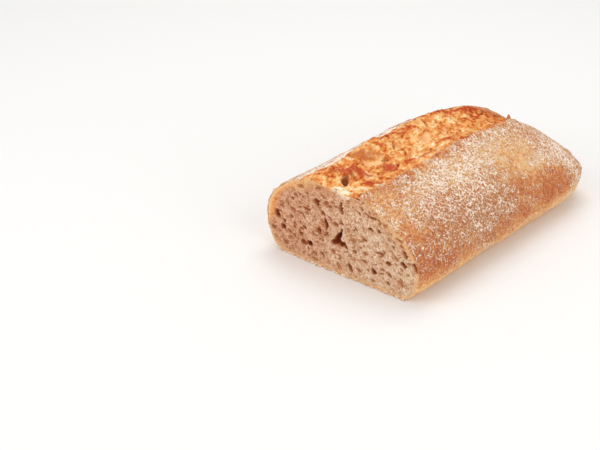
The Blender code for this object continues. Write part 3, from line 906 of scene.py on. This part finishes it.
# Grains of a few lumpy shapes, each modelled once, set about and joined as one mesh.
def scatterGrains(name, material, places, ups, radii, flatness, seed):
    kinds = []
    for kind in range(4):
        selectOnly()
        bpy.ops.mesh.primitive_ico_sphere_add(subdivisions=2, radius=1)
        grain = bpy.context.object
        ball = pointsOf(grain)
        kinds.append(ball * (1 + 0.5 * noiseAt(ball, 1.1, (3.1 * kind, 0, 2)))[:, None])
        corners = [list(face.vertices) for face in grain.data.polygons]
        bpy.data.objects.remove(grain)
    draw = random.Random(seed)
    points, faces = [], []
    for place, up, radius in zip(places, ups, radii):
        shape = draw.choice(kinds)
        turn = Vector(up).to_track_quat("Z", "Y").to_matrix()
        a, b = turned(shape[:, 0], shape[:, 1], -math.degrees(draw.uniform(0, math.tau)))
        stretched = stacked(a * draw.uniform(1, 1.6), b, shape[:, 2] * flatness)
        moved = place + radius * stretched @ np.array(turn).T
        moved[:, 2] = np.maximum(moved[:, 2], 0.1)
        faces += [[corner + len(points) for corner in face] for face in corners]
        points += moved.tolist()
    mesh = bpy.data.meshes.new(name)
    mesh.from_pydata((np.array(points) * mm).tolist(), [], faces)
    piece = bpy.data.objects.new(name, mesh)
    bpy.context.collection.objects.link(piece)
    finishPiece(piece, material, 60, standsForLoaf=False)


# Flour that clotted into tiny clumps where it lay thickest on the crust.
flourClumps = {"count": 1300, "radius": (0.15, 0.5), "flatness": 0.5, "least": 0.3, "seed": 21}


def makeFlourClumps(material, crustPoints, crustNormals, flour):
    draw = random.Random(flourClumps["seed"])
    likely = np.flatnonzero(flour > flourClumps["least"])
    chosen = draw.sample(likely.tolist(), flourClumps["count"])
    least, most = flourClumps["radius"]
    radii = [least + (most - least) * draw.random() ** 2.5 for _ in chosen]
    jitter = np.array([[draw.uniform(-0.5, 0.5) for _ in range(3)] for _ in chosen])
    ups = crustNormals[chosen]
    jitter -= ups * np.sum(jitter * ups, axis=1)[:, None]
    places = crustPoints[chosen] / mm + jitter
    flatness, seed = flourClumps["flatness"], flourClumps["seed"] + 1
    scatterGrains("flour_clumps", material, places, ups, radii, flatness, seed)


# Crumbs that the knife left clinging to the lower edge of the slice and to its corners.
clingingCrumbs = {
    "count": 150,
    "radius": (0.4, 1.15),
    "flatness": 0.7,
    "atFoot": 0.8,  # the share of them along the lower edge
    "seed": 31,
    # x, z and radius of the bits that stand out at the slice's edge
    "bits": [(-55.2, 42.4, 0.9), (-54.4, 43.6, 0.7), (-56, 41, 0.6), (46.5, 1, 0.7), (43, 0.8, 0.6)],
}


def makeClingingCrumbs(material):
    draw = random.Random(clingingCrumbs["seed"])
    skin, _ = sliceOutline()
    places, radii = [], []
    for _ in range(clingingCrumbs["count"]):
        radius = draw.uniform(*clingingCrumbs["radius"]) * draw.uniform(0.6, 1)
        if draw.random() < clingingCrumbs["atFoot"]:
            x, y, z = draw.uniform(-46, 49), draw.uniform(-0.9, 0.2), 0
        else:
            x, z = skin[draw.randrange(len(skin))] * 0.99
            y, radius = draw.uniform(-0.1, 0.4), 0.6 * radius
        places.append((x, y, max(z, 0.7 * radius)))
        radii.append(radius)
    for x, z, radius in clingingCrumbs["bits"]:
        edge = skin[np.argmin(np.hypot(*(skin - (x, z)).T))]
        places.append((edge[0], 0.2, max(edge[1], 0.7 * radius)))
        radii.append(radius)
    ups = [(draw.uniform(-1, 1), -1, draw.uniform(-1, 1)) for _ in places]
    where = inFrame(np.array(places))
    flatness, seed = clingingCrumbs["flatness"], clingingCrumbs["seed"] + 1
    scatterGrains("clinging_crumbs", material, where, ups, radii, flatness, seed)


def paint(hexValue):
    parts = [int(hexValue[i : i + 2], 16) / 255 for i in (1, 3, 5)]
    return [p / 12.92 if p <= 0.04045 else ((p + 0.055) / 1.055) ** 2.4 for p in parts] + [1.0]


def setUp(tree, node, settings, links):
    for name, value in settings.items():
        if name == "stops":
            elements = node.color_ramp.elements
            for place in list(value)[1:-1]:
                elements.new(place)
            for element, (place, colour) in zip(elements, value.items()):
                element.position = place
                element.color = paint(colour)
        elif isinstance(name, int) or name in node.inputs:
            node.inputs[name].default_value = value
        else:
            setattr(node, name, value)
    for name, source in links.items():
        tree.links.new(source, node.inputs[name])


def addNode(tree, kind, settings, links, output=0):
    node = tree.nodes.new("ShaderNode" + kind)
    setUp(tree, node, settings, links)
    return node.outputs[output]


def perMm(size):
    return 1 / (size * mm)


# A material with its object's coordinates, the values of its piece that it follows, and noises
# of some sizes in millimetres, each with its detail and roughness.
def newMaterial(name, fieldNames=(), patterns=()):
    material = bpy.data.materials.new(name)
    material.use_nodes = True
    tree = material.node_tree
    coords = addNode(tree, "TexCoord", {}, {}, "Object")
    fields = [addNode(tree, "Attribute", {"attribute_name": field}, {}, "Fac") for field in fieldNames]
    noises = []
    for size, detail, rough in patterns:
        settings = {"Scale": perMm(size), "Detail": detail, "Roughness": rough}
        noises.append(addNode(tree, "TexNoise", settings, {"Vector": coords}))
    return material, tree, coords, fields, noises


def finishMaterial(material, settings, links):
    setUp(material.node_tree, material.node_tree.nodes["Principled BSDF"], settings, links)
    return material


# Wheat crust baked on a stone and dusted with flour: matt, golden to orange-brown, with the
# flour left as dry white worms and flakes that the stretching dough pulled apart. Flour is ten
# times finer than its specks here, which are as coarse as they need to be to show.
def flouredCrustMaterial():
    patterns = [(9, 4, 0.6), (1.9, 2, 0.6), (7, 3, 0.6), (1.1, 2, 0.5)]
    material, tree, coords, (flour, toast, crackled), (mottle, freckle, patches, grains) = newMaterial(
        "oven-baked wheat crust dusted with flour", ("flour", "toast", "crackled"), patterns
    )
    swirl = addNode(tree, "TexNoise", {"Scale": perMm(2.5), "Detail": 1}, {"Vector": coords}, "Color")
    push = {"operation": "MULTIPLY_ADD", 1: (2.1 * mm, 2.1 * mm, 2.1 * mm)}
    swirled = addNode(tree, "VectorMath", push, {0: swirl, 2: coords})
    worms = addNode(tree, "TexNoise", {"Scale": perMm(2), "Detail": 1}, {"Vector": swirled})

    # The worms lie where a swirled noise crosses its middle, and more flour makes them wider.
    cover = addNode(tree, "Math", {"operation": "MULTIPLY_ADD", 1: 0.133, 2: -0.2095}, {0: flour})
    for source, share in ((patches, 0.16), (grains, 0.2)):
        cover = addNode(tree, "Math", {"operation": "MULTIPLY_ADD", 1: share}, {0: source, 2: cover})
    middle = addNode(tree, "Math", {"operation": "SUBTRACT", 1: 0.5}, {0: worms})
    middle = addNode(tree, "Math", {"operation": "ABSOLUTE"}, {0: middle})
    clear = addNode(tree, "Math", {"operation": "SUBTRACT"}, {0: cover, 1: middle})
    edges = {"From Min": -0.012, "From Max": 0.012, "To Min": 0.02, "To Max": 0.95}
    mask = addNode(tree, "MapRange", {"interpolation_type": "SMOOTHSTEP", **edges}, {"Value": clear})

    # The crust is browner on its freckles, and darker in the gaps between the worms as painted shade from the
    # raised flour.
    gapShadeRange = {"From Min": 0, "From Max": -0.12, "To Min": -1.21, "To Max": -1.09}
    gapShade = addNode(tree, "MapRange", gapShadeRange, {"Value": clear})
    darkening = addNode(tree, "Math", {"operation": "ADD"}, {0: toast, 1: gapShade})
    for source, share in ((mottle, 0.7), (freckle, 1.6)):
        darkening = addNode(tree, "Math", {"operation": "MULTIPLY_ADD", 1: share}, {0: source, 2: darkening})
    stops = {0: "#F5C386", 0.22: "#E6AB6B", 0.45: "#D5894A", 0.68: "#C66A32", 0.86: "#B15A2A", 1: "#9C4F24"}
    baked = addNode(tree, "ValToRGB", {"stops": stops}, {"Fac": darkening})
    # Where flour lies thick, and where the skin crackled, a tan film is mixed in: partly the flour's thin
    # veil and the crackled skin, partly painted shade between the raised worms.
    filmAndShade = addNode(tree, "MapRange", {"From Min": 0.3, "From Max": 0.75, "To Max": 0.3}, {"Value": flour})
    filmAndShade = addNode(tree, "Math", {"operation": "MULTIPLY_ADD", 1: 0.4}, {0: crackled, 2: filmAndShade})
    filmedAndShaded = addNode(tree, "Mix", {"data_type": "RGBA", 7: paint("#A87442")}, {0: filmAndShade, 6: baked}, 2)

    # Single specks of flour lie everywhere, also where the worms are few.
    edges = {"From Min": 0.60, "From Max": 0.67, "To Max": 0.55}
    specks = addNode(tree, "MapRange", {"interpolation_type": "SMOOTHSTEP", **edges}, {"Value": grains})
    enough = addNode(tree, "MapRange", {"From Max": 0.25, "To Min": 0.15}, {"Value": flour})
    specks = addNode(tree, "Math", {"operation": "MULTIPLY"}, {0: specks, 1: enough})
    white = addNode(tree, "Math", {"operation": "MAXIMUM"}, {0: mask, 1: specks})
    colour = addNode(tree, "Mix", {"data_type": "RGBA", 7: paint("#FEECDB")}, {0: white, 6: filmedAndShaded}, 2)
    roughness = addNode(tree, "MapRange", {"To Min": 0.6, "To Max": 0.95}, {"Value": white})
    height = addNode(tree, "Math", {"operation": "MULTIPLY_ADD", 1: 0.8}, {0: freckle, 2: mask})
    bump = addNode(tree, "Bump", {"Strength": 0.9, "Distance": 0.4 * mm}, {"Height": height})
    links = {"Base Color": colour, "Roughness": roughness, "Normal": bump}
    return finishMaterial(material, {"Specular IOR Level": 0.2}, links)


# Crumb that tore open in the oven and toasted: rough, cream where it stayed covered, orange to
# red-brown on the strands that stood up into the heat.
def tornCrumbMaterial():
    names = ("ridge", "char", "wall", "floor", "cream", "pitted", "deep", "border", "dust")
    material, tree, coords, fields, _ = newMaterial("torn wheat crumb toasted in the oven", names)
    ridge, char, wall, floor, cream, pitted, deep, border, dust = fields
    # The fibres of the crumb run along the loaf, so the small pattern is longer that way.
    fibres = addNode(tree, "Mapping", {"Scale": (1, 0.6, 1)}, {"Vector": coords})
    settings = {"Scale": perMm(5.5), "Detail": 3, "Roughness": 0.6, "Distortion": 0.3}
    big = addNode(tree, "TexNoise", settings, {"Vector": coords})
    settings.update({"Scale": perMm(1.7), "Detail": 2})
    small = addNode(tree, "TexNoise", settings, {"Vector": fibres})
    value = addNode(tree, "Math", {"operation": "MULTIPLY_ADD", 1: 1.6, 2: -1.03}, {0: big})
    # Ridges and borders are toasted browner and lumps paler; pits are drawn a little darker as painted shade.
    for source, share in ((small, 1), (ridge, 0.4), (cream, -0.46), (border, 0.3), (pitted, 0.16)):
        value = addNode(tree, "Math", {"operation": "MULTIPLY_ADD", 1: share}, {0: source, 2: value})
    stops = {0: "#FFF0D4", 0.15: "#FCE2B4", 0.35: "#F6C582", 0.55: "#E99B52", 0.75: "#D0692C"}
    stops.update({0.88: "#B24C22", 1: "#7A3216"})
    toned = addNode(tree, "ValToRGB", {"stops": stops}, {"Fac": value})
    # The hollow's floor is mixed towards pale tan, its far wall towards brown as painted shade, and the
    # toasted strands and marks towards red-brown.
    tones = [(floor, 0.75, "#F8CB96"), (wall, 0.75, "#BE5C22"), (char, 0.9, "#BC3F1A")]
    # Holes are mixed towards dark brown the deeper they are, as painted shade.
    for source, share, tone in tones + [(deep, 0.8, "#7C2E12")]:
        some = addNode(tree, "Math", {"operation": "MULTIPLY", 1: share}, {0: source})
        toned = addNode(tree, "Mix", {"data_type": "RGBA", 7: paint(tone)}, {0: some, 6: toned}, 2)
    dusty = addNode(tree, "Math", {"operation": "MULTIPLY_ADD", 1: 0.9}, {0: small, 2: dust})
    dusty = addNode(tree, "MapRange", {"From Min": 0.88, "From Max": 1.1, "To Max": 0.9}, {"Value": dusty})
    colour = addNode(tree, "Mix", {"data_type": "RGBA", 7: paint("#FFF1E6")}, {0: dusty, 6: toned}, 2)
    bump = addNode(tree, "Bump", {"Strength": 0.7, "Distance": 0.25 * mm}, {"Height": small})
    settings = {"Roughness": 0.65, "Specular IOR Level": 0.15}
    return finishMaterial(material, settings, {"Base Color": colour, "Normal": bump})


# Soft wheat crumb cut with a knife: matt and a little translucent, cream walls round darker
# holes. Its finest pores are a third of a millimetre, so they are drawn twice as coarse to show.
def softCrumbMaterial():
    names = ("pore", "cave", "rind", "scorch", "leftness", "warm", "overhang")
    patterns = [(9, 4, 0.6), (1.8, 2, 0.5), (0.8, 1, 0.5)]
    material, tree, _, fields, (cloud, grain, speckle) = newMaterial(
        "soft wheat crumb cut with a bread knife", names, patterns
    )
    pore, cave, rind, scorch, leftness, warm, overhang = fields
    value = addNode(tree, "Math", {"operation": "MULTIPLY_ADD", 1: 0.4, 2: -0.68}, {0: cloud})
    # Pores and holes pick darker colours: partly the crumb's browner walls, partly painted shade in the
    # hollows.
    for source, share in ((grain, 0.6), (speckle, 0.8), (pore, 0.5), (cave, 0.76)):
        value = addNode(tree, "Math", {"operation": "MULTIPLY_ADD", 1: share}, {0: source, 2: value})
    stops = {0: "#F4DDC6", 0.25: "#D8AF8D", 0.5: "#BC8860", 0.75: "#985A36", 1: "#7E3C1E"}
    crumb = addNode(tree, "ValToRGB", {"stops": stops}, {"Fac": value})
    # Painted shade with a painted warm reflection makes it pinker and darker to the left and left of the
    # fold. It is warmer under the crust, and inside the holes it is darker and more orange-brown, partly from
    # the crumb's browner walls and partly as painted shade.
    for source, tone in ((leftness, "#F3DCD0"), (warm, "#FAE6CE"), (cave, "#FFD0A6")):
        settings = {"data_type": "RGBA", "blend_type": "MULTIPLY", 7: paint(tone)}
        crumb = addNode(tree, "Mix", settings, {0: source, 6: crumb}, 2)
    stops = {0.25: "#DC9C68", 0.6: "#EA9250", 0.85: "#F8AE60", 1: "#FFD8A4"}
    scorched = addNode(tree, "ValToRGB", {"stops": stops}, {"Fac": rind})
    skin = addNode(tree, "Mix", {"data_type": "RGBA", 6: paint("#F0BC82")}, {0: scorch, 7: scorched}, 2)
    rindShare = addNode(tree, "MapRange", {"From Min": 0.05, "To Max": 0.9}, {"Value": rind})
    colour = addNode(tree, "Mix", {"data_type": "RGBA"}, {0: rindShare, 6: crumb, 7: skin}, 2)
    # Torn crumb from the top hangs a little way over the edge in the middle.
    colour = addNode(tree, "Mix", {"data_type": "RGBA", 7: paint("#FCE9CE")}, {0: overhang, 6: colour}, 2)
    bump = addNode(tree, "Bump", {"Strength": 0.5, "Distance": 0.2 * mm}, {"Height": grain})
    settings = {
        "Roughness": 0.8,
        "Specular IOR Level": 0.25,
        "Subsurface Weight": 0.2,
        "Subsurface Radius": (2, 1.2, 0.7),
        "Subsurface Scale": 1 * mm,
    }
    return finishMaterial(material, settings, {"Base Color": colour, "Normal": bump})


# Clots of dry flour are quite matt, almost white with a little warmth from the crust below.
# Dry crumbs are a little glossier, pale cream to light gold.
looseBits = {
    "flour": ("wheat flour clotted in the oven", (1.6, 2, 0.5), "#F6E2CF", "#FFF8F0", 0.95, 0.2),
    "crumbs": ("dry wheat crumbs", (1.8, 3, 0.5), "#D9A574", "#FBE6CC", 0.85, 0.25),
}


def looseBitsMaterial(kind):
    name, pattern, darker, paler, roughness, gloss = looseBits[kind]
    material, tree, _, _, (tint,) = newMaterial(name, (), [pattern])
    colour = addNode(tree, "ValToRGB", {"stops": {0.3: darker, 0.7: paler}}, {"Fac": tint})
    settings = {"Roughness": roughness, "Specular IOR Level": gloss}
    return finishMaterial(material, settings, {"Base Color": colour})


crustPoints, crustNormals, crustFlour = makeCrust(flouredCrustMaterial())
makeTornBand(tornCrumbMaterial())
makeCrumbFace(softCrumbMaterial())
makeFlourClumps(looseBitsMaterial("flour"), crustPoints, crustNormals, crustFlour)
makeClingingCrumbs(looseBitsMaterial("crumbs"))


studio = {
    "lens": 81,
    "pitch": 28.729,
    "azimuth": 42,
    "fromFoot": (0.4157, -0.5547, 0.43),  # from the loaf's right-hand foot at the slice, in metres
    "floor": "#FAF9F7",
    "ambient": 0.46,
    "aim": (0, 0, 0.03),
    # place, size and power of each soft light, aimed at the loaf
    "lights": [
        ((-0.25, 0.30, 1.10), 0.9, 5.8),
        ((0.95, -0.15, 0.55), 0.8, 3.6),
        ((-0.35, -1.00, 0.60), 1.0, 4.8),
    ],
}


def aimed(thing, back):
    thing.rotation_euler = (-Vector(back)).to_track_quat("-Z", "Y").to_euler()


def makeStudio():
    bpy.ops.mesh.primitive_plane_add(size=8, location=(0, 0, -0.1 * mm))
    floor = bpy.context.object
    floor.name = "floor"
    paper = bpy.data.materials.new("matt white studio paper")
    paper.use_nodes = True
    finishMaterial(paper, {"Base Color": paint(studio["floor"]), "Roughness": 0.9}, {})
    floor.data.materials.append(paper)
    world = bpy.data.worlds.new("studio")
    bpy.context.scene.world = world
    world.use_nodes = True
    background = world.node_tree.nodes["Background"]
    setUp(world.node_tree, background, {"Color": (1, 1, 1, 1), "Strength": studio["ambient"]}, {})
    for place, size, power in studio["lights"]:
        bpy.ops.object.light_add(type="AREA", location=place)
        light = bpy.context.object
        light.data.size = size
        light.data.energy = power
        aimed(light, Vector(place) - Vector(studio["aim"]))
    bpy.ops.object.camera_add(location=Vector(solidFoot) + Vector(studio["fromFoot"]))
    camera = bpy.context.object
    camera.data.lens = studio["lens"]
    pitch, azimuth = math.radians(studio["pitch"]), math.radians(studio["azimuth"])
    flat = math.cos(pitch)
    aimed(camera, (math.sin(azimuth) * flat, -math.cos(azimuth) * flat, math.sin(pitch)))
    bpy.context.scene.camera = camera
    bpy.context.scene.view_settings.view_transform = "Standard"
    print("made the floor, the lights and the camera")


makeStudio()
